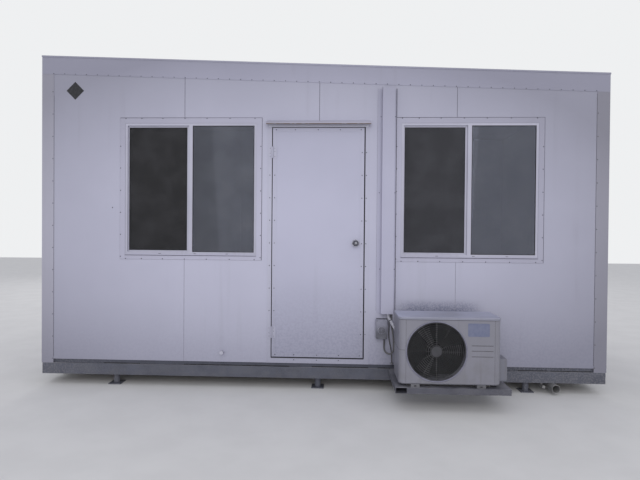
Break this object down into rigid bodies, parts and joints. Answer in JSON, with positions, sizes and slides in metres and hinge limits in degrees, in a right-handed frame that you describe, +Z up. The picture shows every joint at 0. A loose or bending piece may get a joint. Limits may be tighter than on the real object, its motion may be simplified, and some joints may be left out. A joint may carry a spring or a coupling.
{
  "type": "portable site cabin",
  "caption": "Portable site cabin of sandwich panels on a steel chassis, with sliding windows, a hinged door and an air conditioner on a shelf.",
  "frame": {"origin": "on the ground, below the middle of the whole object, shelf included", "axes": "+X along the front to the right, +Y from the front to the back, +Z up"},
  "size_m": [5.006, 3.008, 2.96],
  "materials": {
    "galvanised_steel": "dull galvanised",
    "coated_steel": "white baked paint",
    "aluminium_white": "white powder coat",
    "glass": "clear float",
    "timber": "film-faced ply",
    "chrome": "polished",
    "unit_paint": "off-white enamel",
    "dark_plastic": "matt",
    "grey_plastic": "matt",
    "pale_plastic": "satin",
    "fin_metal": "finned",
    "foam": "foam sleeve"
  },
  "bodies": {
    "cabin": {"front_beam": "galvanised_steel", "rear_beam": "galvanised_steel", "end_beams": "galvanised_steel", "floor_joists": "galvanised_steel", "legs": "galvanised_steel", "bottom_tracks": "galvanised_steel", "floor_deck": "timber", "front_panel_1": "coated_steel", "front_panel_2": "coated_steel", "front_panel_3": "coated_steel", "front_panel_4": "coated_steel", "door_header_panels": "coated_steel", "rear_wall_panels": "coated_steel", "left_end_panels": "coated_steel", "right_end_panels": "coated_steel", "corner_flashings": "coated_steel", "roof_panels": "coated_steel", "front_fascia": "coated_steel", "rear_fascia": "coated_steel", "end_fascias": "coated_steel", "window_trims": "aluminium_white", "window_frames": "aluminium_white", "window_sashes": "aluminium_white", "window_panes": "glass", "door_jambs": "coated_steel", "door_head": "coated_steel", "door_threshold": "coated_steel", "rain_hood": "coated_steel", "hinge_plates": "galvanised_steel", "pipe_duct": "coated_steel", "isolator_box": "grey_plastic", "refrigerant_pipe": "foam", "drain_pipes": "grey_plastic", "ac_shelf": "galvanised_steel", "ac_feet": "galvanised_steel", "ac_casing": "unit_paint", "ac_lid": "unit_paint", "ac_grille": "dark_plastic", "duct_plug": "dark_plastic", "hose_clip": "galvanised_steel", "screen_frames": "aluminium_white", "screen_meshes": "dark_plastic", "ac_motor": "galvanised_steel", "ac_coil": "fin_metal", "ac_valve_cover": "pale_plastic", "power_conduit": "grey_plastic", "condensate_hose": "dark_plastic"},
    "door": {"door_leaf": "coated_steel", "door_edging": "coated_steel", "hinge_straps": "galvanised_steel", "door_roses": "chrome"},
    "knob": {"door_knob": "chrome"},
    "fan": {"ac_fan": "dark_plastic"},
    "isolator_handle": {"isolator_switch": "grey_plastic"}
  },
  "joints": [
    {"name": "door_hinge", "type": "hinge", "parent": "cabin", "child": "door", "pos_m": [-0.413, -1.007, 0.283], "axis": [0, 0, -1], "range_deg": [0, 110]},
    {"name": "knob_turn", "type": "hinge", "parent": "door", "child": "knob", "pos_m": [0.3265, -0.999, 1.295], "axis": [0, 1, 0], "range_deg": [-60, 60]},
    {"name": "fan_spin", "type": "hinge", "parent": "cabin", "child": "fan", "pos_m": [0.941, -1.486, 0.47], "axis": [0, 1, 0], "continuous": true},
    {"name": "isolator_turn", "type": "hinge", "parent": "cabin", "child": "isolator_handle", "pos_m": [0.556, -0.999, 0.544], "axis": [0, 1, 0], "range_deg": [0, 90]}
  ]
}
